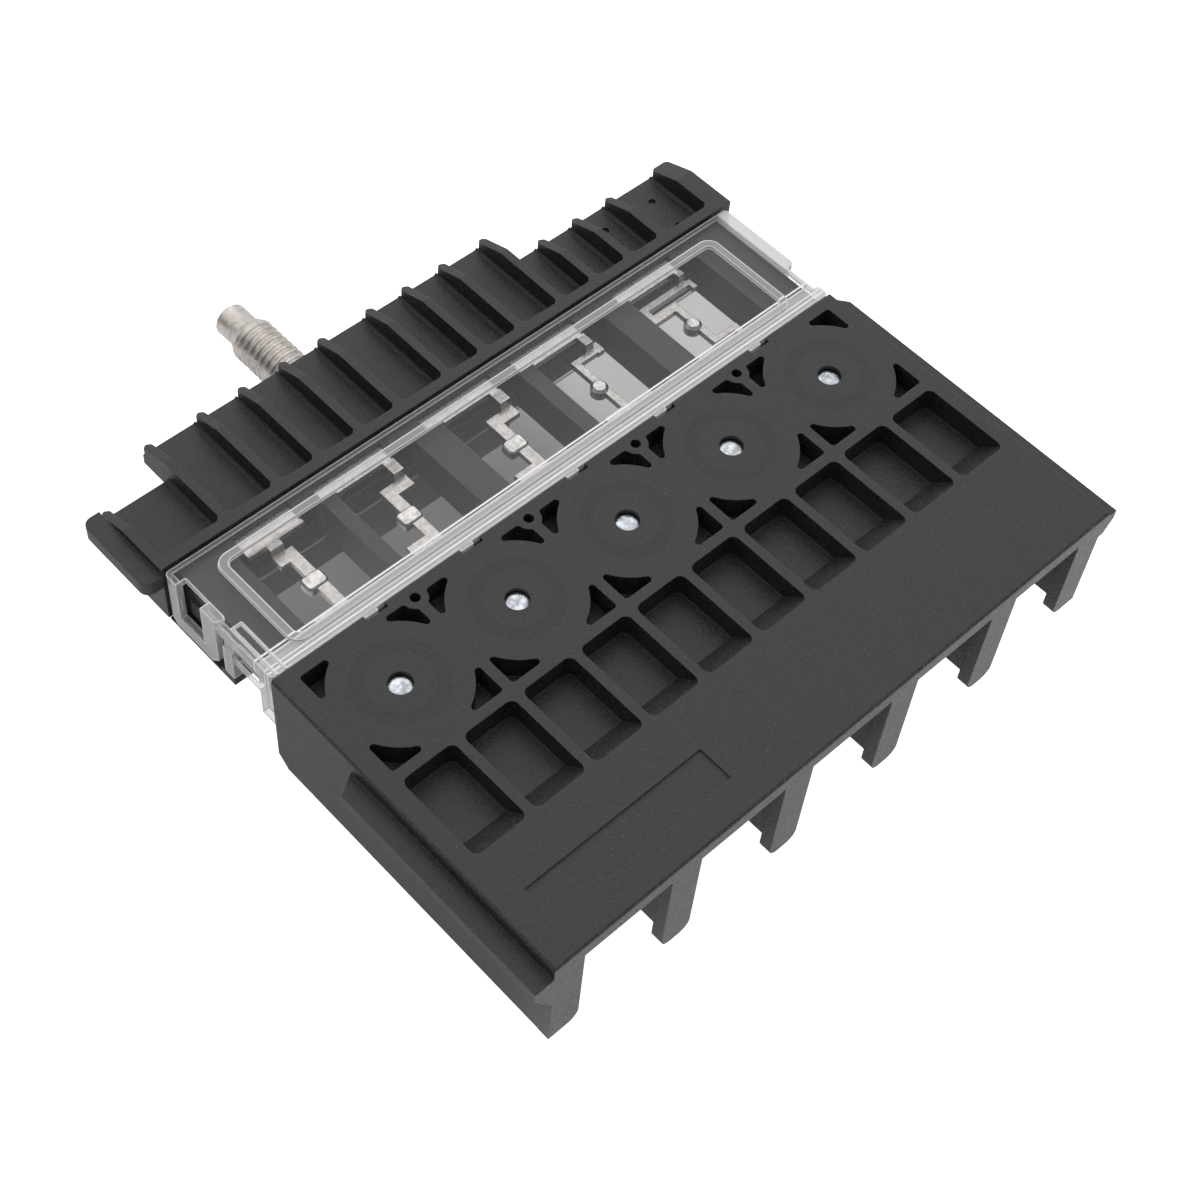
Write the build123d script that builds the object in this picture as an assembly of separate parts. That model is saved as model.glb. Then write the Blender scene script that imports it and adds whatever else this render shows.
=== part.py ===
from build123d import *
import os

# Fusible-link block for a battery terminal. A glass-filled moulding holds one stamped bus bar with five fuse
# links, five output studs and the battery stud. Clear covers close the fuse windows above and below.
# Millimetres. X runs along the row of studs, -Y towards the cable exits, +Z up.
# The origin lies on the middle output stud, in the plane where the cable lugs bear.

# Output studs
stud_pitch = 16.5
stud_count = 5
stud_r = 3.0
stud_length = 12.2
stud_chamfer = 0.6
collar_r = 3.5
stud_head_r = 6.0
stud_head_height = 2.1

# Sheet metal
sheet = 0.8
pad_r = 7.2
neck_reach = 4.1
neck_width = 3.6
bus_step = 1.1
bus_inner_front = 25.2
bus_slot_rear = 26.9
bus_rear = 28.0
bus_overhang = 1.5
leg_lean = 0.15

# Battery stud and the tab of the bus bar that it clamps
battery_x = -10.3
battery_z = -6.6
battery_body_end = 56.8
battery_r = 3.0
battery_tip = 60.0
battery_head_r = 5.0
battery_head_height = 1.5
dog_r = 2.2
tab_width = 12.6
tab_bottom = -13.2

# Front plate
head_skin = 0.5
peek_r = 1.45
left_margin = 10.1
right_margin = 9.75
right_inset = 0.75
plate_front = -35.1
plate_rear = 9.0
plate_thickness = 5.0
apron_thickness = 2.2
apron_rear = -22.0
plate_edge_r = 0.4
well_r = 6.6

# Core-outs in the front plate
pocket_web = 1.2
pocket_front = -20.65
pocket_rear = -9.1
pocket_depth = 3.2
pocket_corner = 0.9
corner_web = 1.3
corner_ring_over = 0.3
corner_front_over = 0.15
corner_rear_short = 0.15
corner_depth = 3.2
corner_round = 0.42
pin_hole_r = 0.62
pin_hole_y = 7.35
pin_ring = 1.5

# Recess for markings
marking_left = -39.4
marking_right = -14.8
marking_front = -31.1
marking_rear = -26.5
marking_depth = 0.25

# Fins between the cable channels
fin_thickness = 1.9
fin_bottom = -12.7
fin_rear = 9.4
column_width = 4.15
column_depth = 1.6
column_bottom = -13.8
end_column_bottom = -12.8
column_round = 1.5
end_wall = 2.0
heel_chamfer = 1.6

# Rails along the two sides
left_rail = 2.5
left_rail_top = 1.4
left_rail_height = 1.5
left_rail_taper = 4.2
left_rail_rear = -4.0
right_rail = 1.25
right_rail_top = 2.8
right_rail_height = 1.4
right_rail_taper = 2.0
right_rail_rear = 8.4
rail_chamfer = 1.6

# Window body
cover_sheet = 0.9
cover_gap = 0.12
body_bottom = -3.3
body_right_gap = 1.35
window_width = 11.7
window_front = 12.1
window_rear = 24.8
window_round = 0.8
window_shifts = [3.35, 0.45, -0.2, -2.8, -3.65]
ledges = [(-0.3, 0.25), (-1.65, 0.5)]
skirt_wall = 1.4
skirt_low = -5.4
skirt_front = 15.9
sill_left = -43.2
sill_height = 0.35
sill_block_rear = 18.2
sill_block_top = -4.3

# Ribbed rear part
rear_front = 27.5
rear_left = -43.4
rear_right = 43.9
rear_top = 4.0
band_rear = 28.9
floor_top = 1.2
floor_thickness = 1.5
end_rear = 38.9
middle_rear = 43.6
middle_left = -34.3
rib_width = 1.1
right_rib_width = 2.7
rib_slope_length = 4.4
rib_tip_drop = 1.5
valley_corner = 0.5
valley_foot = 0.3
rib_nose = 0.4
rib_xs = [-34.3, -27.0, -21.1, -15.2, -9.4, -2.1, 3.5, 9.3, 15.9, 21.4, 27.1, 32.8]
middle_rib_count = 9
side_skirt = 1.8
side_skirt_bottom = -5.0
shelf_width = 2.4
shelf_top = 3.0
shelf_thickness = 2.0
shelf_round = 1.2
dimple_r = 0.5
dimple_depth = 0.4
dimples = [(38.4, 35.6), (38.2, 30.5), (30.4, 35.7)]

# Wall that carries the battery stud
wall_front = 26.0
wall_left = -34.3
wall_right = 6.0
wall_bottom = -11.6
boss_width = 14.0

# Upper cover
cover_left = -42.9
cover_right = 41.7
flange = 0.9
flange_gap = 0.5
cover_rear_gap = 0.15
cover_corner = 0.6
bead_width = 1.0
bead_height = 0.35
bead_left = -38.4
bead_right = 37.8
bead_front = 10.6
bead_rear = 25.1
bead_corner = 1.7
loop_left = -43.2
loop_front = 18.6
loop_bottom = -4.9
loop_chamfer = 1.2
loop_hole_front = 21.0
loop_hole_rear = 25.3
loop_hole_bottom = -3.0
loop_notch = 1.35
knob_front = 18.2
knob_round = 0.55
skirt_bottom = 1.5
skirt_bar_top = -0.2
skirt_bar_bottom = -1.6
arm_front = 15.9
arm_rear = 17.45
arm_top = 0.5
arm_bottom = -4.15
leg_width = 2.4
leg_bottom = -5.8
label_left = -42.2
label_right = -40.8
label_rear = 16.9
label_line = 0.22
label_height = 0.12
right_out = 42.9
right_front = 15.3
right_bottom = -0.6
lug_out = 42.45
lug_rear = 10.9
tab_lug_width = 1.8
tab_lug_out = 0.4
tab_slot_width = 3.0
tab_slot_depth = 0.65
catch_height = 2.6
catch_out = 0.4

# Lower cover
lower_sheet = 0.9
lower_front = 10.6
lower_rear = 25.6
lower_rim = 0.8
lower_rim_height = 0.5

# The fuse links, measured from the stud that each link feeds
# lip: where the bus bar shows in the window and its front edge
# root: where the link leaves the bus bar, jog: the band across, strip: centre and ends of the melting strip
# foot: the terminal neck, bars: further bars of the sheet
heavy_strip = 1.5
thin_strip = 0.95
links = [
    {"lip": (-1.5, 6.3, 24.0), "root": (0.9, 2.7), "jog": (1.15, 3.65, 21.35, 23.0),
     "strip": (2.9, 13.2, 23.0), "foot": (-0.9, 3.65, 13.65), "bars": []},
    {"lip": (-7.0, 3.1, 24.7), "root": (1.6, 3.1), "jog": (-0.75, 3.15, 20.85, 22.5),
     "strip": (0.0, 14.0, 22.5), "foot": (-3.5, 0.75, 14.5), "bars": []},
    {"lip": (-8.0, 2.75, 24.7), "root": (1.25, 2.75), "jog": (-1.25, 2.75, 20.9, 22.5),
     "strip": (-0.5, 14.0, 22.5), "foot": (-4.0, 0.25, 14.35), "bars": []},
    {"lip": (-10.5, -0.3, 24.5), "root": (-1.5, -0.3), "jog": (-4.05, -0.3, 21.85, 22.7),
     "strip": (-3.58, 13.5, 22.7), "foot": (-6.85, -3.1, 13.9), "bars": [(-0.4, 0.6, 21.7, 23.3)]},
    {"lip": (-10.5, -0.6, 24.6), "root": (-1.6, -0.6), "jog": (-8.6, -0.6, 22.7, 23.6),
     "strip": (-4.5, 13.8, 21.7), "foot": (-1.6, -0.7, 14.6),
     "bars": [(-0.7, 0.0, 21.9, 23.4), (-8.6, -7.6, 20.6, 23.0), (-8.6, -4.1, 20.6, 21.7),
              (-4.9, -0.7, 13.8, 14.6)]},
]
strip_widths = [heavy_strip, heavy_strip, heavy_strip, thin_strip, thin_strip]

# Tin pellets crimped on the strips
pellet_y = 17.7
pellet_length = 2.1
pellet_left = 1.0
pellet_right = 0.3
pellet_under = 0.35
pellet_over = 0.2
pellet_round = 0.55
drop_r = 1.1
drop_left = 0.45
drop_under = 0.25
drop_over = 0.4
drop_chamfer = 0.35

# Derived places
plate_top = sheet + stud_head_height + head_skin
plate_bottom = plate_top - plate_thickness
stud_xs = [(i - (stud_count - 1) / 2) * stud_pitch for i in range(stud_count)]
fin_xs = [(i - (stud_count - 2) / 2) * stud_pitch for i in range(stud_count - 1)]
window_xs = [x + shift for x, shift in zip(stud_xs, window_shifts)]
plate_left = stud_xs[0] - left_margin
plate_right = stud_xs[-1] + right_margin
cover_bottom = plate_top - cover_sheet
body_top = cover_bottom - cover_gap
body_left = cover_left + flange + flange_gap
body_right = plate_right - body_right_gap
cover_front = plate_rear + cover_gap
cover_rear = rear_front - cover_rear_gap
bus_top = sheet + bus_step
wall_rear = bus_rear + sheet
floor_bottom = floor_top - floor_thickness
rib_tip = rear_top - rib_tip_drop


def block(x0, x1, y0, y1, z0, z1):
    """A box between two corners."""
    return Pos((x0 + x1) / 2, (y0 + y1) / 2, (z0 + z1) / 2) * Box(x1 - x0, y1 - y0, z1 - z0)


def upright(shape):
    """The edges of a shape that stand along Z."""
    return shape.edges().filter_by(Axis.Z)


def rounded_block(x0, x1, y0, y1, z0, z1, radius):
    """A box with rounded upright edges."""
    shape = block(x0, x1, y0, y1, z0, z1)
    return fillet(upright(shape), radius)


def disc(x, y, z0, z1, radius):
    """An upright cylinder from z0 to z1."""
    return Pos(x, y, (z0 + z1) / 2) * Cylinder(radius, z1 - z0)


def side_profile(points, x0, x1):
    """A prism along X from an outline of (y, z) points."""
    face = Plane.YZ.offset(x0) * make_face(Polyline(*points, close=True))
    return extrude(face, x1 - x0)


def end_profile(points, y0, y1):
    """A prism along Y from an outline of (x, z) points."""
    face = Plane.XZ.offset(-y0) * make_face(Polyline(*points, close=True))
    return extrude(face, -(y1 - y0))


def make_stud(x):
    """An output stud: a six-sided head under the plate's skin, a collar through the pad and a shank."""
    head = Pos(x, 0, sheet) * extrude(RegularPolygon(stud_head_r, 6), stud_head_height)
    collar = disc(x, 0, 0, sheet, collar_r)
    shank = disc(x, 0, -stud_length, 0, stud_r)
    shank = chamfer(shank.edges().sort_by(Axis.Z)[0], stud_chamfer)
    return head + collar + shank


def make_battery_stud():
    """The battery stud: a moulded-in head, a collar through the tab, a shank along +Y and a dog point."""
    upward = (Align.CENTER, Align.CENTER, Align.MIN)
    head = Cylinder(battery_head_r, battery_head_height, align=upward)
    collar = Pos(0, 0, battery_head_height) * Cylinder(collar_r, sheet, align=upward)
    shank_start = battery_head_height + sheet
    shank_length = battery_body_end - bus_rear - sheet
    shank = Cylinder(battery_r, shank_length, align=upward)
    shank = chamfer(shank.edges().sort_by(Axis.Z)[-1], battery_r - dog_r)
    dog = Cylinder(dog_r, battery_tip - battery_body_end, align=upward)
    dog = chamfer(dog.edges().sort_by(Axis.Z)[-1], 0.3)
    stud = head + collar + Pos(0, 0, shank_start) * shank + Pos(0, 0, shank_start + shank_length) * dog
    return Pos(battery_x, bus_rear - battery_head_height, battery_z) * Rot(-90, 0, 0) * stud


def make_link(x, link, width):
    """A fuse link: a root at bus level, a step down, a band across, the strip and the terminal neck."""
    root_x0, root_x1 = link["root"]
    jog_x0, jog_x1, jog_y0, jog_y1 = link["jog"]
    strip_x, strip_y0, strip_y1 = link["strip"]
    foot_x0, foot_x1, foot_rear = link["foot"]
    root_rear = bus_inner_front + 0.1
    leg_rear = jog_y1 + sheet
    outline = [(root_rear, bus_top), (jog_y1 + leg_lean, bus_top), (jog_y1, sheet), (jog_y0, sheet)]
    outline += [(jog_y0, 0), (leg_rear, 0), (leg_rear + leg_lean, bus_step), (root_rear, bus_step)]
    link_shape = side_profile(outline, x + root_x0, x + root_x1)
    bars = [link["jog"], (strip_x - width / 2, strip_x + width / 2, strip_y0, strip_y1)]
    bars += [(foot_x0, foot_x1, window_front - 1.5, foot_rear)] + link["bars"]
    for x0, x1, y0, y1 in bars:
        link_shape += block(x + x0, x + x1, y0, y1, 0, sheet)
    return link_shape


def make_pad(x, link):
    """A terminal pad: a round eye under the stud head with its neck running back to the link."""
    foot_x0, foot_x1, foot_rear = link["foot"]
    neck_x0 = max(foot_x0, -neck_reach)
    neck_x1 = max(min(foot_x1, neck_reach), neck_x0 + neck_width)
    neck = block(x + neck_x0, x + neck_x1, 0, window_front, 0, sheet)
    shoulder_x0 = x + min(foot_x0, neck_x0)
    shoulder_x1 = x + max(foot_x1, neck_x1)
    shoulder = block(shoulder_x0, shoulder_x1, window_front - 2.2, window_front - 0.2, 0, sheet)
    pad = disc(x, 0, 0, sheet, pad_r) + neck + shoulder
    return pad - disc(x, 0, -1, sheet + 1, collar_r)


def make_bus_bar():
    """The stamped bus bar with its five fuse links, five terminal pads and the battery tab."""
    left = stud_xs[0] + links[0]["lip"][0] - bus_overhang
    right = window_xs[-1] + window_width / 2 - bus_overhang
    bar = block(left, right, bus_inner_front, bus_rear, bus_step, bus_top)
    for x, link, width in zip(stud_xs, links, strip_widths):
        lip_x0, lip_x1, lip_front = link["lip"]
        bar += block(x + lip_x0, x + lip_x1, lip_front, bus_inner_front, bus_step, bus_top)
        bar += make_link(x, link, width) + make_pad(x, link)
    tab_x0 = battery_x - tab_width / 2
    tab_x1 = battery_x + tab_width / 2
    tab = block(tab_x0, tab_x1, bus_rear, bus_rear + sheet, tab_bottom, bus_top)
    tab = fillet(tab.edges().filter_by(Axis.Y).sort_by(Axis.Z)[0:2], 3.0)
    tab -= Pos(battery_x, bus_rear, battery_z) * Rot(90, 0, 0) * Cylinder(collar_r, 8)
    return bar + tab


def make_pellet(x, link, width):
    """A tin pellet: a rounded lump that grips the strip all round and bulges out to its left."""
    strip_x0 = x + link["strip"][0] - width / 2
    strip_x1 = strip_x0 + width
    y0 = pellet_y - pellet_length / 2
    y1 = pellet_y + pellet_length / 2
    if width == heavy_strip:
        x0 = strip_x0 - pellet_left
        lump = block(x0, strip_x1 + pellet_right, y0, y1, -pellet_under, sheet + pellet_over)
        lump = fillet(upright(lump), pellet_round)
        lump = chamfer(lump.edges().group_by(Axis.Z)[0] + lump.edges().group_by(Axis.Z)[-1], pellet_over)
    else:
        centre_x = (strip_x0 + strip_x1) / 2 - drop_left
        lump = disc(centre_x, pellet_y, -drop_under, sheet + drop_over, drop_r)
        lump = chamfer(lump.edges().group_by(Axis.Z)[-1], drop_chamfer)
    return lump - block(strip_x0, strip_x1, y0 - 1, y1 + 1, 0, sheet)


def pocket_core(x):
    """The core of one pocket: upright at the back and sides, with a ramp of 45 degrees at the front."""
    half = (stud_pitch / 2 - pocket_web) / 2
    low = plate_top - pocket_depth
    core = rounded_block(x - half, x + half, pocket_front, pocket_rear, low, plate_top, pocket_corner)
    ramp = [(pocket_front, plate_top), (pocket_front, low), (pocket_front + pocket_depth, low)]
    return core - side_profile(ramp, x - half, x + half)


def corner_core(x, side_x, side_y, with_pin):
    """The core of a three-cornered pocket at one corner of a stud's cell, hollowed round the stud."""
    outer_x = stud_pitch / 2 - corner_web / 2
    outer_y = outer_x - corner_rear_short if side_y > 0 else outer_x + corner_front_over
    region = Pos(side_x * outer_x / 2, side_y * outer_y / 2) * Rectangle(outer_x, outer_y)
    region -= Circle(outer_x + corner_ring_over)
    if with_pin:
        region -= Pos(side_x * stud_pitch / 2, pin_hole_y) * Circle(pin_ring)
    region = fillet(region.vertices(), corner_round)
    return Pos(x, 0, plate_top - corner_depth) * extrude(region, corner_depth)


def plate_cores():
    """Every hollow that opens through the top of the front plate."""
    cores = []
    for i in range(2 * stud_count):
        cores.append(pocket_core((i - stud_count + 0.5) * stud_pitch / 2))
    for i, x in enumerate(stud_xs):
        for side_x in (-1, 1):
            inner = 0 <= i + side_x < stud_count
            for side_y in (-1, 1):
                cores.append(corner_core(x, side_x, side_y, inner and side_y > 0))
        cores.append(disc(x, 0, plate_top - head_skin, plate_top, peek_r))
    for x in fin_xs:
        cores.append(disc(x, pin_hole_y, plate_top - corner_depth, plate_top, pin_hole_r))
    for x in window_xs:
        slot_x0 = x - tab_lug_width / 2 - cover_gap
        slot_x1 = slot_x0 + tab_slot_width
        cores.append(block(slot_x0, slot_x1, plate_rear - tab_slot_depth, plate_rear, body_top, plate_top))
    marking_z = plate_top - marking_depth
    cores.append(block(marking_left, marking_right, marking_front, marking_rear, marking_z, plate_top))
    return cores


def make_fin(x):
    """A fin between two channels, with its wider rounded column at the front."""
    half_wall = fin_thickness / 2
    half = column_width / 2
    wall = block(x - half_wall, x + half_wall, plate_front, fin_rear, fin_bottom, plate_bottom)
    column_top = plate_top - apron_thickness
    column = block(x - half, x + half, plate_front, plate_front + column_depth, column_bottom, column_top)
    column = fillet(column.edges().filter_by(Axis.Y).sort_by(Axis.Z)[0:2], column_round)
    return wall + column


def make_end_wall(edge_x, inward):
    """An end wall of the channels with its front column. inward is +1 at the left end and -1 at the right."""
    x0 = min(edge_x, edge_x + inward * end_wall)
    heel = plate_rear - heel_chamfer
    outline = [(plate_front, plate_bottom), (plate_front, fin_bottom), (heel, fin_bottom)]
    outline += [(plate_rear, fin_bottom + heel_chamfer), (plate_rear, plate_bottom)]
    wall = side_profile(outline, x0, x0 + end_wall)
    c0 = min(edge_x, edge_x + inward * column_width)
    top = plate_top - apron_thickness
    column = block(c0, c0 + column_width, plate_front, plate_front + column_depth, end_column_bottom, top)
    low_edges = column.edges().filter_by(Axis.Y).sort_by(Axis.Z)[0:2].sort_by(Axis.X)
    return wall + fillet(low_edges[-1 if inward > 0 else 0], column_round)


def make_rail(edge_x, outward, reach, top, height, taper, rear):
    """A rail along one side of the plate, tapered below, with a chamfered rear end."""
    tip = edge_x + outward * reach
    root = edge_x - outward * 1.0
    low = top - height - taper
    outline = [(root, top), (tip, top), (tip, top - height), (edge_x, low), (root, low)]
    rail = end_profile(outline, plate_front, rear)
    cut = Polyline((tip, rear - rail_chamfer), (edge_x, rear), (tip, rear), close=True)
    return rail - Pos(0, 0, low) * extrude(make_face(cut), height + taper)


def front_part():
    """The front plate with its fins, end walls and rails."""
    plate = block(plate_left, plate_right, plate_front, plate_rear, plate_top - apron_thickness, plate_top)
    plate = fillet(plate.edges().group_by(Axis.Z)[-1].sort_by(Axis.Y)[0:3], plate_edge_r)
    plate += block(plate_left, plate_right, apron_rear, plate_rear, plate_bottom, plate_top - apron_thickness)
    for x in fin_xs:
        plate += make_fin(x)
        x0 = x - fin_thickness / 2
        plate += block(x0, x0 + fin_thickness, plate_front, apron_rear, plate_bottom, plate_top - 1)
    for edge_x, inward in ((plate_left, 1), (plate_right - right_inset, -1)):
        plate += make_end_wall(edge_x, inward)
        x0 = min(edge_x, edge_x + inward * end_wall)
        plate += block(x0, x0 + end_wall, plate_front, apron_rear, plate_bottom, plate_top - 1)
    plate += make_rail(plate_left, -1, left_rail, left_rail_top, left_rail_height, left_rail_taper,
                       left_rail_rear)
    plate += make_rail(plate_right, 1, right_rail, right_rail_top, right_rail_height, right_rail_taper,
                       right_rail_rear)
    for core in plate_cores():
        plate -= core
    for x in stud_xs:
        plate -= disc(x, 0, plate_bottom - 1, 0, well_r)
    return plate


def window_part():
    """The window body behind the plate, the wall down to the battery stud and the catch for the loop."""
    body = block(body_left, body_right, plate_rear, rear_front, body_bottom, body_top)
    body += block(rear_left, rear_right, rear_front, wall_rear, body_bottom, floor_top)
    for x in window_xs:
        x0 = x - window_width / 2
        x1 = x0 + window_width
        body -= rounded_block(x0, x1, window_front, window_rear, body_bottom - 1, body_top + 1, window_round)
        for top, out in ledges:
            body += block(x0, x1, window_rear - out, window_rear, body_bottom, top)
    for x, link in zip(stud_xs, links):
        lip_x0, lip_x1, lip_front = link["lip"]
        body -= block(x + lip_x0, x + lip_x1, lip_front, bus_slot_rear, bus_top, body_top)
    # Skirts at both ends below the windows, and the sill under the latch loop
    for x0 in (body_left, body_right - skirt_wall):
        body += block(x0, x0 + skirt_wall, skirt_front, rear_front, skirt_low, body_bottom)
    body += block(sill_left, body_left, skirt_front, rear_front, skirt_low, skirt_low + sill_height)
    body += block(sill_left, body_left, skirt_front, sill_block_rear, skirt_low, sill_block_top)
    # Wall for the battery stud
    body += block(wall_left, wall_right, wall_front, wall_rear, wall_bottom, body_bottom)
    boss_x0 = battery_x - boss_width / 2
    boss = block(boss_x0, boss_x0 + boss_width, wall_front, wall_rear, column_bottom, body_bottom)
    boss = fillet(boss.edges().filter_by(Axis.Y).sort_by(Axis.Z)[0:2], column_round)
    body += boss
    catch_z = loop_hole_bottom + 0.2
    catch_y0 = loop_hole_front + 0.3
    catch_y1 = loop_hole_rear - 0.3
    return body + block(body_left - catch_out, body_left, catch_y0, catch_y1, catch_z, catch_z + catch_height)


def rear_part():
    """The ribbed rear plate with its left shelf and its side skirts."""
    plate = block(rear_left, rear_right, rear_front, end_rear, floor_bottom, rear_top)
    middle_right = rib_xs[middle_rib_count - 1] + rib_width
    plate += block(middle_left, middle_right, rear_front, middle_rear, floor_bottom, rear_top)
    rights = [rear_left + rib_width] + [x + rib_width for x in rib_xs]
    lefts = rib_xs + [rear_right - right_rib_width]
    for x0, x1 in zip(rights, lefts):
        valley = block(x0, x1, band_rear, middle_rear + 1, floor_top, rear_top + 1)
        valley = chamfer(upright(valley).sort_by(Axis.Y)[0:2], valley_corner)
        plate -= chamfer(valley.edges().group_by(Axis.Z)[0], valley_foot)
    stretches = [(rear_left, middle_left, end_rear), (middle_left, middle_right, middle_rear)]
    stretches += [(middle_right, rear_right, end_rear)]
    for x0, x1, rear in stretches:
        slope = [(rear - rib_slope_length, rear_top), (rear, rib_tip), (rear, rear_top)]
        plate -= side_profile(slope, x0, x1)
    ribs = [(rear_left, rib_width)] + [(x, rib_width) for x in rib_xs] + [(lefts[-1], right_rib_width)]
    for x, width in ribs:
        rear = middle_rear if middle_left <= x < middle_right else end_rear
        for side_x, inward in ((x, 1), (x + width, -1)):
            tip_x = side_x + inward * rib_nose
            nose = Polyline((side_x, rear - rib_nose), (side_x, rear), (tip_x, rear), close=True)
            plate -= Pos(0, 0, floor_top) * extrude(make_face(nose), rear_top - floor_top)
    for x0 in (rear_left, rear_right - side_skirt):
        plate += block(x0, x0 + side_skirt, rear_front, end_rear, side_skirt_bottom, floor_bottom)
    shelf_bottom = shelf_top - shelf_thickness
    shelf = block(rear_left - shelf_width, rear_left, cover_rear, end_rear, shelf_bottom, shelf_top)
    shelf = fillet(upright(shelf).sort_by(Axis.X)[0:2], shelf_round)
    plate += shelf
    for x, y in dimples:
        plate -= disc(x, y, floor_top - dimple_depth, floor_top, dimple_r)
    return plate


def latch_loop():
    """The loop at the rear of the left end that snaps over the catch, with the knob on its front bar."""
    loop = [(loop_front, plate_top), (loop_front, loop_bottom + loop_chamfer)]
    loop += [(loop_front + loop_chamfer, loop_bottom), (cover_rear - loop_chamfer, loop_bottom)]
    loop += [(cover_rear, loop_bottom + loop_chamfer), (cover_rear, plate_top)]
    shape = side_profile(loop, loop_left, loop_left + flange)
    shape = fillet(upright(shape).sort_by(Axis.Y)[-2:].sort_by(Axis.X)[0], cover_corner)
    knob_top = plate_top + bead_height
    knob = block(loop_left, loop_left + loop_notch, knob_front, loop_hole_front, cover_bottom, knob_top)
    knob = fillet(upright(knob).sort_by(Axis.Y)[0:2], knob_round)
    return shape + knob


def left_end():
    """The left end in front of the loop: a slotted skirt with an arm over the sill and a leg at the front."""
    x1 = cover_left + flange
    skirt = block(cover_left, x1, cover_front, loop_front, skirt_bottom, cover_bottom)
    skirt += block(cover_left, x1, cover_front, arm_front, skirt_bar_bottom, skirt_bar_top)
    skirt += block(cover_left, x1, cover_front, cover_front + leg_width, leg_bottom, skirt_bottom)
    skirt += block(cover_left, x1, arm_front, arm_rear, arm_bottom, skirt_bottom)
    return skirt + block(loop_left, x1, arm_front, arm_rear, arm_bottom, arm_top)


def right_end():
    """The right end: a wider stretch with a skirt at the rear, and a small lug at the front corner."""
    x0 = bead_right
    shape = rounded_block(x0, right_out, right_front, cover_rear, cover_bottom, plate_top, cover_corner)
    y0 = right_front + cover_corner
    y1 = cover_rear - cover_corner
    shape += block(right_out - flange, right_out, y0, y1, right_bottom, cover_bottom)
    return shape + rounded_block(x0, lug_out, cover_front, lug_rear, cover_bottom, plate_top, cover_corner)


def make_top_cover():
    """The clear upper cover: a beaded sheet with a latch loop, a slotted skirt, a label frame and lugs."""
    cover = rounded_block(cover_left, cover_right, cover_front, cover_rear, cover_bottom, plate_top,
                          cover_corner)
    bead_x = (bead_left + bead_right) / 2
    bead_y = (bead_front + bead_rear) / 2
    bead_length = bead_right - bead_left
    bead_depth = bead_rear - bead_front
    ring = RectangleRounded(bead_length, bead_depth, bead_corner)
    ring -= RectangleRounded(bead_length - 2 * bead_width, bead_depth - 2 * bead_width, bead_corner - 0.8)
    cover += Pos(bead_x, bead_y, plate_top) * extrude(ring, bead_height)
    label = block(label_left, label_right, cover_front, label_rear, plate_top, plate_top + label_height)
    label_x0 = label_left + label_line
    label_x1 = label_right - label_line
    label -= block(label_x0, label_x1, cover_front, label_rear - label_line, plate_top, plate_top + 1)
    cover += label
    cover += latch_loop() + left_end() + right_end()
    notch_x1 = loop_left + loop_notch
    cover -= block(loop_left, notch_x1, loop_hole_front, loop_hole_rear, loop_hole_bottom, plate_top + 1)
    # Lugs that seat in the rear edge of the plate
    for x in window_xs:
        x0 = x - tab_lug_width / 2
        y0 = cover_front - tab_lug_out
        cover += block(x0, x0 + tab_lug_width, y0, cover_front + 0.3, cover_bottom, plate_top)
    return cover


def make_bottom_cover():
    """The clear lower cover: a sheet with a low rim, set between the skirts under the windows."""
    left = body_left + skirt_wall + cover_gap
    right = body_right - skirt_wall - cover_gap
    top = body_bottom - cover_gap
    low = top - lower_sheet
    cover = rounded_block(left, right, lower_front, lower_rear, low, top, cover_corner)
    rim = rounded_block(left, right, lower_front, lower_rear, low - lower_rim_height, low, cover_corner)
    rim -= block(left + lower_rim, right - lower_rim, lower_front + lower_rim, lower_rear - lower_rim,
                 low - lower_rim_height, low)
    return cover + rim


bus_bar = make_bus_bar()
battery_stud = make_battery_stud()
studs = [make_stud(x) for x in stud_xs]
pellets = [make_pellet(x, link, width) for x, link, width in zip(stud_xs, links, strip_widths)]

housing = front_part() + window_part() + rear_part()
housing -= bus_bar
housing -= battery_stud
for stud in studs:
    housing -= stud

nodes = {
    "housing": housing,
    "bus_bar": bus_bar,
    "battery_stud": battery_stud,
    "top_cover": make_top_cover(),
    "bottom_cover": make_bottom_cover(),
}
for i, (stud, pellet) in enumerate(zip(studs, pellets), start=1):
    nodes[f"output_stud_{i}"] = stud
    nodes[f"fuse_pellet_{i}"] = pellet

os.makedirs("parts", exist_ok=True)
for name, shape in nodes.items():
    export_step(shape, f"parts/{name}.step")
    print(name, round(shape.volume, 1), "mm3", len(shape.solids()), "solid")
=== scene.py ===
import math

import bmesh
import bpy
from mathutils import Matrix, Vector


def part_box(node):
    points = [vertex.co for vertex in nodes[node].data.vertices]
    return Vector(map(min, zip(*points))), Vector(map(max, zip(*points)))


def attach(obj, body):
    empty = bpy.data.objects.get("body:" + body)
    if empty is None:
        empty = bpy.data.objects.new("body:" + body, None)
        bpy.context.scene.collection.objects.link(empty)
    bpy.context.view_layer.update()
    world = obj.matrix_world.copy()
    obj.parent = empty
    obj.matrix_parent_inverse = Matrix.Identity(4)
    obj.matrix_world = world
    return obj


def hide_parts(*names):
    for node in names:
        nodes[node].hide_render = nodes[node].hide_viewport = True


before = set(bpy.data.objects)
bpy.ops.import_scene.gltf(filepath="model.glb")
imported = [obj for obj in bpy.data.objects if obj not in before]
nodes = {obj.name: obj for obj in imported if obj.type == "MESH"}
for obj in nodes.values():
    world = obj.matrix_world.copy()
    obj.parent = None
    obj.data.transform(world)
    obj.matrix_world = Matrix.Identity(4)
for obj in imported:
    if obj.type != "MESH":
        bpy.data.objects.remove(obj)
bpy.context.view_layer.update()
mm = 0.001
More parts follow.
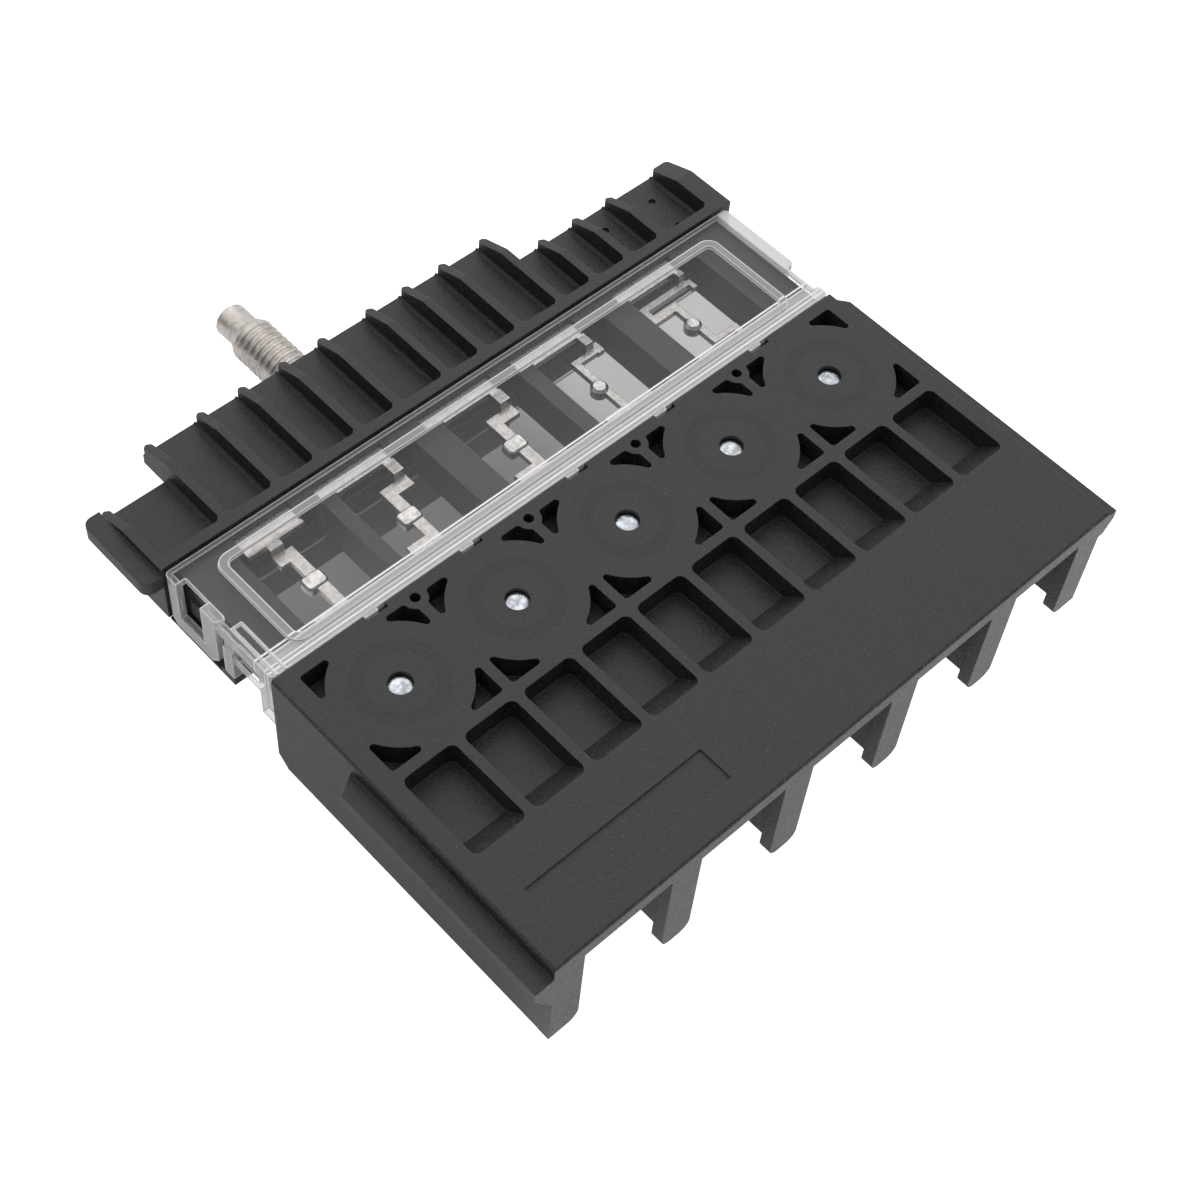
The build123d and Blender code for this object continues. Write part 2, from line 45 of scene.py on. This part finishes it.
print("frame loaded:", len(nodes), "nodes")


# Shader values: plain + - * ** between them add Math nodes
class Value:
    def __init__(self, graph, socket):
        self.graph = graph
        self.socket = socket

    def __add__(self, other):
        return self.graph.math("ADD", self, other)

    def __radd__(self, other):
        return self.graph.math("ADD", other, self)

    def __sub__(self, other):
        return self.graph.math("SUBTRACT", self, other)

    def __rsub__(self, other):
        return self.graph.math("SUBTRACT", other, self)

    def __mul__(self, other):
        return self.graph.math("MULTIPLY", self, other)

    def __rmul__(self, other):
        return self.graph.math("MULTIPLY", other, self)

    def __pow__(self, other):
        return self.graph.math("POWER", self, other)

    def absolute(self):
        return self.graph.math("ABSOLUTE", self)

    def clamped(self):
        return self.graph.math("MAXIMUM", self.graph.math("MINIMUM", self, 1.0), 0.0)


class Graph:
    def __init__(self, holder):
        self.holder = holder
        holder.use_nodes = True
        self.tree = holder.node_tree
        self.tree.nodes.clear()

    # a socket takes a link or a plain value
    def feed(self, target, value):
        if isinstance(value, Value):
            self.tree.links.new(value.socket, target)
        else:
            target.default_value = value

    # any node: its type, its settings first, then the values or links of its sockets, by name or as i0, i1 ...
    def node(self, nodeType, settings=None, **inputs):
        made = self.tree.nodes.new(nodeType)
        for name, value in (settings or {}).items():
            setattr(made, name, value)
        for name, value in inputs.items():
            key = int(name[1:]) if name[0] == "i" and name[1:].isdigit() else name.replace("_", " ")
            self.feed(made.inputs[key], value)
        return made

    def out(self, made, name=0):
        return Value(self, made.outputs[name])

    def math(self, operation, *values):
        made = self.node("ShaderNodeMath", {"operation": operation})
        for target, value in zip(made.inputs, values):
            self.feed(target, value)
        return self.out(made)

    def position(self):
        return self.out(self.node("ShaderNodeTexCoord"), "Object")

    def axes(self, vector):
        made = self.node("ShaderNodeSeparateXYZ", i0=vector)
        return [self.out(made, name) for name in "XYZ"]

    def noise(self, vector, size, detail=2.0, roughness=0.5):
        made = self.node("ShaderNodeTexNoise", Vector=vector, Scale=1.0 / size, Detail=detail, Roughness=roughness)
        return self.out(made, "Fac")

    def smooth(self, value, low, high):
        settings = {"interpolation_type": "SMOOTHSTEP"}
        made = self.node("ShaderNodeMapRange", settings, Value=value, From_Min=low, From_Max=high)
        return self.out(made)

    def blend(self, factor, first, second):
        made = self.node("ShaderNodeMix", {"data_type": "RGBA"}, i0=factor, i6=first, i7=second)
        return Value(self, made.outputs[2])

    def dot(self, first, second):
        made = self.node("ShaderNodeVectorMath", {"operation": "DOT_PRODUCT"}, i0=first, i1=second)
        return self.out(made, "Value")

    # 1 on a thin line along every sharp edge, else 0
    def edgeMask(self, radius, low=0.015, high=0.12):
        rounded = self.out(self.node("ShaderNodeBevel", {"samples": 8}, Radius=radius))
        straight = self.out(self.node("ShaderNodeNewGeometry"), "Normal")
        return self.smooth(1.0 - self.dot(rounded, straight), low, high)

    # rounded edges first, then the surface's own relief
    def relief(self, height, depth, edge=0.0):
        inputs = {"Height": height, "Distance": depth, "Strength": 1.0}
        if edge:
            inputs["Normal"] = self.out(self.node("ShaderNodeBevel", {"samples": 6}, Radius=edge))
        return self.out(self.node("ShaderNodeBump", **inputs))

    def finish(self, shader):
        surface = shader if isinstance(shader, Value) else self.out(shader)
        self.node("ShaderNodeOutputMaterial", Surface=surface)
        return self.holder


def grey(level):
    return (level, level, level, 1.0)


# Black glass-filled plastic
plastic = {
    "dark": (0.006, 0.006, 0.0062, 1.0),
    "light": (0.038, 0.037, 0.038, 1.0),
    "glass": (0.22, 0.22, 0.225, 1.0),
    "tone": 0.20,
    "roughness": 0.50,
    "ior": 1.54,
    "grain": 0.32 * mm,
    "grainTone": 2.2,
    "grainDepth": 0.08 * mm,
    "flecks": 0.20 * mm,
    "fleckRange": (0.63, 0.75),
    "fleckTone": 0.65,
    "clouds": 9 * mm,
    "cloudTone": 0.35,
    "edge": 0.18 * mm,
    # painted highlight: how far a thin line along sharp edges is lightened
    "paintedEdgeHighlight": 0.22,
    "studPitch": 16.5 * mm,
    "rings": (4.1 * mm, 5.2 * mm),
    "ringBlend": 0.5 * mm,
    "ringTone": 0.06,
    "topLevel": 3.4 * mm,
}


def blackPlastic():
    g = Graph(bpy.data.materials.new("black_plastic"))
    place = g.position()
    x, y, z = g.axes(place)
    grain = g.noise(place, plastic["grain"], 3.0, 0.6)
    flecks = g.smooth(g.noise(place, plastic["flecks"], 1.0), *plastic["fleckRange"])
    clouds = g.noise(place, plastic["clouds"], 3.0, 0.55)
    # a faint pressed ring round each stud, on the top face only; ten whole pitches keep the folded value positive
    pitch = plastic["studPitch"]
    across = g.math("PINGPONG", x + 0.5 * pitch + 10 * pitch, pitch) - 0.5 * pitch
    radius = g.math("SQRT", across * across + y * y)
    inner, outer = plastic["rings"]
    soft = plastic["ringBlend"]
    ring = g.smooth(radius, inner - soft, inner) * g.smooth(radius, outer + soft, outer)
    top = g.smooth(z, plastic["topLevel"] - 0.2 * mm, plastic["topLevel"] - 0.05 * mm)
    pressed = ring * top
    # painted highlight: a thin line along every sharp edge, lightened toward the fleck colour
    edge = plastic["paintedEdgeHighlight"] * g.edgeMask(plastic["edge"])
    tone = plastic["tone"] + plastic["cloudTone"] * clouds + plastic["grainTone"] * (grain - 0.5)
    tone = (tone - plastic["ringTone"] * pressed).clamped()
    colour = g.blend(tone, plastic["dark"], plastic["light"])
    colour = g.blend(g.math("MAXIMUM", plastic["fleckTone"] * flecks, edge), colour, plastic["glass"])
    height = grain + 0.8 * flecks - 0.4 * pressed
    shine = plastic["roughness"] + 0.40 * (grain - 0.5) + 0.10 * (clouds - 0.5) + 0.035 * pressed
    body = g.node(
        "ShaderNodeBsdfPrincipled",
        Base_Color=colour,
        Roughness=shine.clamped(),
        IOR=plastic["ior"],
        Normal=g.relief(height, plastic["grainDepth"], plastic["edge"]),
    )
    return g.finish(body)


# Clear covers
clear = {
    "body": (0.78, 0.765, 0.77, 1.0),
    # painted highlight: the near-white colour of sharp edges and of the front lines
    "lit": (0.98, 0.97, 0.975, 1.0),
    "faceAlpha": 0.045,
    "sideAlpha": 0.60,
    # painted highlight: how opaque the bead on top is made, so it shows lighter
    "beadAlpha": 0.36,
    "beadLevel": 3.65 * mm,
    "bandAlpha": 0.48,
    "bandRear": 11.9 * mm,
    "frostAlpha": 0.70,
    "frostLeft": 41.0 * mm,
    # painted highlight: how opaque sharp edges, front lines and grazing rims are made
    "paintedHighlightAlpha": 0.97,
    # painted highlight: fine lines along the front rim, as (middle, half width)
    "lines": [(9.85 * mm, 0.16 * mm), (10.4 * mm, 0.12 * mm), (12.1 * mm, 0.18 * mm)],
    "waves": 6 * mm,
    "waveDepth": 0.02 * mm,
    "edge": 0.29 * mm,
    "edgeRange": (0.003, 0.04),
    "rimPower": 4.0,
    "roughness": 0.06,
    "ior": 1.58,
}


def clearPlastic():
    g = Graph(bpy.data.materials.new("clear_plastic"))
    place = g.position()
    x, y, z = g.axes(place)
    normal = g.out(g.node("ShaderNodeTexCoord"), "Normal")
    up = g.axes(normal)[2]
    waves = g.noise(place, clear["waves"], 2.0)
    facing = g.out(g.node("ShaderNodeLayerWeight", Blend=0.35), "Facing")
    wall = 1.0 - g.smooth(up.absolute(), 0.25, 0.9)
    # painted highlight: light along the front rim and on sharp edges is painted as near-white lines, and grazing rims
    # are painted nearly opaque as a painted reflection; the right end is frosted
    top = g.smooth(z, 0.0, 1 * mm)
    line = 0.0
    for middle, half in clear["lines"]:
        line = g.math("MAXIMUM", line, 1.0 - g.smooth((y - middle).absolute(), 0.4 * half, half))
    edge = g.edgeMask(clear["edge"], *clear["edgeRange"])
    lit = g.math("MAXIMUM", edge, line * top)
    bead = g.smooth(z, clear["beadLevel"] - 0.1 * mm, clear["beadLevel"])
    band = g.smooth(y, clear["bandRear"], clear["bandRear"] - 0.3 * mm) * top
    frost = g.smooth(x, clear["frostLeft"], clear["frostLeft"] + 0.6 * mm)
    alpha = clear["faceAlpha"] + (clear["sideAlpha"] - clear["faceAlpha"]) * wall
    # painted highlight: the bead on top is made more opaque, so it shows lighter
    for mask, level in ((bead, "beadAlpha"), (band, "bandAlpha"), (frost, "frostAlpha")):
        alpha = g.math("MAXIMUM", alpha, mask * clear[level])
    # painted highlight and painted reflection: sharp edges, front lines and grazing rims are made nearly opaque
    alpha = alpha + (clear["paintedHighlightAlpha"] - alpha) * g.math("MAXIMUM", lit, facing ** clear["rimPower"])
    body = g.node(
        "ShaderNodeBsdfPrincipled",
        Base_Color=g.blend(lit, clear["body"], clear["lit"]),
        Roughness=clear["roughness"],
        IOR=clear["ior"],
        Alpha=alpha.clamped(),
        Normal=g.relief(waves, clear["waveDepth"], clear["edge"]),
    )
    return g.finish(body)


# Tin-plated sheet, tin lumps and the zinc on the stud heads
metals = {
    "tin_plate": {
        "bright": (0.425, 0.41, 0.40, 1.0), "dull": (0.33, 0.315, 0.305, 1.0), "roughness": 0.27, "depth": 0.008 * mm,
    },
    "tin_lump": {
        "bright": (0.54, 0.53, 0.52, 1.0), "dull": (0.36, 0.35, 0.34, 1.0), "roughness": 0.22, "depth": 0.05 * mm,
    },
    "stud_zinc": {
        "bright": (0.54, 0.57, 0.61, 1.0), "dull": (0.26, 0.275, 0.30, 1.0), "roughness": 0.24, "depth": 0.05 * mm,
    },
}
# painted shade: sharp edges of the plated parts are darkened toward near black, for their dark sides and the shadow
# beside them
plating = {"spots": 0.8 * mm, "scratch": 0.12 * mm, "edge": 0.10 * mm, "paintedEdgeShade": 0.55, "paintedShadeTone": 0.10}


def platedMetal(name, bright, dull, roughness, depth):
    g = Graph(bpy.data.materials.new(name))
    place = g.position()
    spots = g.noise(place, plating["spots"], 3.0, 0.6)
    fine = g.noise(place, plating["scratch"], 2.0)
    colour = g.blend(g.smooth(spots, 0.35, 0.7), bright, dull)
    # painted shade along every sharp edge
    edge = g.edgeMask(plating["edge"]) * plating["paintedEdgeShade"]
    body = g.node(
        "ShaderNodeBsdfPrincipled",
        Base_Color=g.blend(edge, colour, grey(plating["paintedShadeTone"])),
        Metallic=1.0,
        Roughness=(roughness + 0.15 * (spots - 0.5) + 0.1 * (fine - 0.5)).clamped(),
        Normal=g.relief(spots + 0.3 * fine, depth, plating["edge"]),
    )
    return g.finish(body)


# Plated stud steel, a little warm
steel = {
    "bright": (0.62, 0.575, 0.54, 1.0),
    "dull": (0.44, 0.405, 0.375, 1.0),
    "spots": 0.7 * mm,
    "scratch": 0.1 * mm,
    "roughness": 0.34,
    "depth": 0.02 * mm,
}


def studSteel():
    g = Graph(bpy.data.materials.new("stud_steel"))
    place = g.position()
    spots = g.noise(place, steel["spots"], 3.0, 0.6)
    fine = g.noise(place, steel["scratch"], 2.0)
    body = g.node(
        "ShaderNodeBsdfPrincipled",
        Base_Color=g.blend(g.smooth(spots, 0.35, 0.75), steel["bright"], steel["dull"]),
        Metallic=1.0,
        Roughness=(steel["roughness"] + 0.25 * (fine - 0.5) + 0.2 * (spots - 0.5)).clamped(),
        Normal=g.relief(spots + fine, steel["depth"]),
    )
    return g.finish(body)


housingLook = blackPlastic()
coverLook = clearPlastic()
sheetLook, lumpLook, headLook = [platedMetal(name, **look) for name, look in metals.items()]
studLook = studSteel()
print("materials made")


def dress(name, material):
    for slot in nodes[name].material_slots:
        slot.material = material
    for face in nodes[name].data.polygons:
        face.use_smooth = False


dress("housing", housingLook)
dress("bus_bar", sheetLook)
dress("top_cover", coverLook)
dress("bottom_cover", coverLook)
for number in range(1, 6):
    dress(f"fuse_pellet_{number}", lumpLook)
    dress(f"output_stud_{number}", headLook)
dress("battery_stud", studLook)
print("nodes dressed")


# Threaded studs stand in for the plain ones: rings of vertices along the axis, the thread as a winding offset
thread = {
    "pitch": 1.0 * mm,
    "depth": 0.24 * mm,
    "crest": 0.12,
    "flanks": 0.76,
    "runout": 0.8 * mm,
    "segments": 40,
    "ringsPerTurn": 10,
    "sharpAngle": 35,
}


def studMesh(name, look, profile, threadFrom, threadTo):
    # profile: (distance along the axis, radius) pairs; the thread winds between threadFrom and threadTo
    rings = []
    for (a0, r0), (a1, r1) in zip(profile, profile[1:]):
        threaded = a0 >= threadFrom - 1e-9 and a1 <= threadTo + 1e-9 and r0 == r1
        steps = max(1, round((a1 - a0) / thread["pitch"] * thread["ringsPerTurn"])) if threaded else 1
        for i in range(steps):
            rings.append((a0 + (a1 - a0) * i / steps, r0 + (r1 - r0) * i / steps, threaded))
    rings.append((profile[-1][0], profile[-1][1], False))
    mesh = bmesh.new()
    loops = []
    for along, radius, threaded in rings:
        loop = []
        for k in range(thread["segments"]):
            turn = k / thread["segments"]
            cut = 0.0
            if threaded:
                phase = (along / thread["pitch"] - turn) % 1.0
                ridge = min(1.0, max(0.0, (abs(phase - 0.5) * 2 - thread["crest"]) / thread["flanks"]))
                fade = min(1.0, (along - threadFrom) / thread["runout"], (threadTo - along) / thread["runout"])
                cut = thread["depth"] * ridge * max(0.0, fade)
            angle = 2 * math.pi * turn
            r = radius - cut
            loop.append(mesh.verts.new((r * math.cos(angle), r * math.sin(angle), along)))
        loops.append(loop)
    for low, high in zip(loops, loops[1:]):
        for k in range(thread["segments"]):
            n = (k + 1) % thread["segments"]
            mesh.faces.new((low[k], low[n], high[n], high[k]))
    mesh.faces.new(list(reversed(loops[0])))
    mesh.faces.new(loops[-1])
    data = bpy.data.meshes.new(name)
    mesh.to_mesh(data)
    mesh.free()
    piece = bpy.data.objects.new(name, data)
    bpy.context.scene.collection.objects.link(piece)
    data.materials.append(look)
    data.shade_smooth()
    data.set_sharp_from_angle(angle=math.radians(thread["sharpAngle"]))
    return piece


# dome: (depth, radius) pairs in mm of the head's middle
outputStud = {
    "headRadius": 5.15 * mm,
    "collarRadius": 3.48 * mm,
    "radius": 3 * mm,
    "chamfer": 0.6 * mm,
    "sheet": 0.8 * mm,
    "dome": [(0.0, 0.5), (0.02, 1.0), (0.06, 1.3), (0.12, 1.48), (0.12, 1.55), (0.0, 1.9)],
}


def placeOutputStud(number):
    node = f"output_stud_{number}"
    low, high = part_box(node)
    s = outputStud
    top = high.z
    # the axis runs down from the head, so distances count from the head's face, which is a low dome in the middle
    headTo = top - s["sheet"]
    length = top - low.z
    threadTo = length - s["chamfer"]
    profile = [(depth * mm, radius * mm) for depth, radius in s["dome"]] + [
        (0.0, s["headRadius"]),
        (headTo, s["headRadius"]),
        (headTo, s["collarRadius"]),
        (top, s["collarRadius"]),
        (top, s["radius"]),
        (threadTo, s["radius"]),
        (length, s["radius"] - s["chamfer"]),
    ]
    piece = studMesh(f"threaded_stud_{number}", headLook, profile, top, threadTo)
    piece.data.transform(Matrix.Translation(((low.x + high.x) / 2, 0, top)) @ Matrix.Rotation(math.pi, 4, "X"))
    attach(piece, "base")
    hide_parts(node)


batteryStud = {
    "headRadius": 4.95 * mm,
    "headHeight": 1.5 * mm,
    "collarRadius": 3.48 * mm,
    "sheet": 0.8 * mm,
    "radius": 3 * mm,
    "dogRadius": 2.2 * mm,
    "dogLength": 3.2 * mm,
    "cone": 1.6 * mm,
    "tipRound": 0.3 * mm,
}


def placeBatteryStud():
    low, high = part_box("battery_stud")
    length = high.y - low.y
    s = batteryStud
    shankFrom = s["headHeight"] + s["sheet"]
    dogFrom = length - s["dogLength"]
    threadTo = dogFrom - s["cone"]
    profile = [
        (0.0, s["headRadius"]),
        (s["headHeight"], s["headRadius"]),
        (s["headHeight"], s["collarRadius"]),
        (shankFrom, s["collarRadius"]),
        (shankFrom, s["radius"]),
        (threadTo, s["radius"]),
        (dogFrom, s["dogRadius"]),
        (length - s["tipRound"], s["dogRadius"]),
        (length, s["dogRadius"] - s["tipRound"]),
    ]
    piece = studMesh("threaded_battery_stud", studLook, profile, shankFrom, threadTo)
    centre = ((low.x + high.x) / 2, low.y, (low.z + high.z) / 2)
    piece.data.transform(Matrix.Translation(centre) @ Matrix.Rotation(-math.pi / 2, 4, "X"))
    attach(piece, "base")
    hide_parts("battery_stud")


for number in range(1, 6):
    placeOutputStud(number)
placeBatteryStud()
print("studs threaded")


# Floor, light and camera
studio = {
    "floorLevel": -26.05 * mm,
    "floorSize": 6.0,
    "floorRoughness": 0.9,
    "floorWhite": 0.8,
    # painted shadow: the table's colour under the block, and under the fins
    "underPaintedShadow": 0.36,
    "frontPaintedShadow": 0.30,
    "frontShadeFrom": (1 * mm, -7.5 * mm),
    "floorGlow": 1.0,
    # painted light: the table's glow in reflections only, higher in front of the block
    "glossyGlow": 0.25,
    "frontGlow": 0.62,
    "frontFrom": (-24 * mm, -34 * mm),
    # painted light: the glow of the table under the right half of the block
    "sideGlow": 0.26,
    "sideFrom": (12.4 * mm, 31.5 * mm),
    "shadeMiddle": (13.2 * mm, 16.0 * mm),
    "shadeHalf": (47.5 * mm, 39.5 * mm),
    "shadeBlend": 8 * mm,
    "glowTowards": (0.31, 0.42, 0.85),
    "glowRange": (0.05, 0.80),
    "farGlow": 0.13,
    "nearGlow": 1.10,
}


# a white table, low enough for the dropped cover: to the camera it is pure white all round the block; underneath it
# keeps the block's shadow, and there its colour is painted darker as a painted shadow, darkest under the fins
def makeFloor():
    mesh = bpy.data.meshes.new("floor")
    half = studio["floorSize"] / 2
    corners = [(-half, -half), (half, -half), (half, half), (-half, half)]
    mesh.from_pydata([(x, y, studio["floorLevel"]) for x, y in corners], [], [(0, 1, 2, 3)])
    floor = bpy.data.objects.new("floor", mesh)
    bpy.context.scene.collection.objects.link(floor)
    g = Graph(bpy.data.materials.new("floor_white"))
    x, y, z = g.axes(g.position())
    (middleX, middleY), (halfX, halfY) = studio["shadeMiddle"], studio["shadeHalf"]
    beyond = g.math("MAXIMUM", (x - middleX).absolute() - halfX, (y - middleY).absolute() - halfY)
    rays = g.node("ShaderNodeLightPath")
    seen = g.out(rays, "Is Camera Ray") + g.out(rays, "Is Transmission Ray")
    # painted light: in reflections only the table glows, more in front of the block, for the front faces to reflect
    mirrored = studio["glossyGlow"] + studio["frontGlow"] * g.smooth(y, *studio["frontFrom"])
    seen = (seen + mirrored * g.out(rays, "Is Glossy Ray")).clamped()
    # painted light: under the right half of the block the table glows, as if lit from behind
    side = studio["sideGlow"] * g.smooth(x, *studio["sideFrom"])
    around = g.smooth(beyond, -studio["shadeBlend"], 0.0)
    lit = g.math("MAXIMUM", around, side) * seen
    # painted shadow: the table is coloured darker under the block, darker still under the fins
    paintedShadow = g.blend(g.smooth(y, *studio["frontShadeFrom"]), grey(studio["underPaintedShadow"]), grey(studio["frontPaintedShadow"]))
    body = g.node(
        "ShaderNodeBsdfPrincipled",
        Base_Color=g.blend(around, paintedShadow, grey(studio["floorWhite"])),
        Roughness=studio["floorRoughness"],
        Emission_Color=g.blend(lit, grey(0.0), grey(1.0)),
        Emission_Strength=studio["floorGlow"],
    )
    # seen from below, the table isn't there
    below = g.out(g.node("ShaderNodeNewGeometry"), "Backfacing")
    nothing = g.out(g.node("ShaderNodeBsdfTransparent"))
    mesh.materials.append(g.finish(g.node("ShaderNodeMixShader", i0=below, i1=g.out(body), i2=nothing)))


# one wide soft light above the rear right, dimmer all round
def makeWorld():
    world = bpy.data.worlds.new("studio")
    g = Graph(world)
    towards = g.dot(g.out(g.node("ShaderNodeTexCoord"), "Generated"), Vector(studio["glowTowards"]).normalized())
    fade = g.smooth(towards, *studio["glowRange"])
    strength = studio["farGlow"] + (studio["nearGlow"] - studio["farGlow"]) * fade
    strength = g.math("MAXIMUM", strength, g.out(g.node("ShaderNodeLightPath"), "Is Camera Ray"))
    glow = g.node("ShaderNodeBackground", Color=grey(1.0), Strength=strength)
    g.node("ShaderNodeOutputWorld", Surface=g.out(glow))
    bpy.context.scene.world = world


lamps = {
    "rear": {"at": (0.30, 0.42, 0.75), "size": 0.45, "power": 0.5},
}


def makeLamp(name, at, size, power):
    data = bpy.data.lights.new(name, "AREA")
    data.shape = "SQUARE"
    data.size = size
    data.energy = power
    lamp = bpy.data.objects.new(name, data)
    bpy.context.scene.collection.objects.link(lamp)
    lamp.location = at
    lamp.rotation_euler = (-Vector(at)).to_track_quat("-Z", "Y").to_euler()


view = {
    "lens": 64.67,
    "sensor": 36,
    "clip": (0.01, 20),
    "at": (-110.36 * mm, -95.68 * mm, 194.57 * mm),
    "right": (0.72802, -0.68271, 0.06241),
    "up": (0.53401, 0.62183, 0.57285),
    "back": (-0.42990, -0.38372, 0.81728),
}


def makeCamera():
    data = bpy.data.cameras.new("camera")
    data.lens = view["lens"]
    data.sensor_width = view["sensor"]
    data.clip_start, data.clip_end = view["clip"]
    camera = bpy.data.objects.new("camera", data)
    bpy.context.scene.collection.objects.link(camera)
    turn = Matrix((view["right"], view["up"], view["back"])).transposed().to_4x4()
    camera.matrix_world = Matrix.Translation(view["at"]) @ turn
    bpy.context.scene.camera = camera


makeFloor()
makeWorld()
for name, lamp in lamps.items():
    makeLamp(name, **lamp)
makeCamera()
bpy.context.scene.view_settings.view_transform = "Standard"
print("stage set")
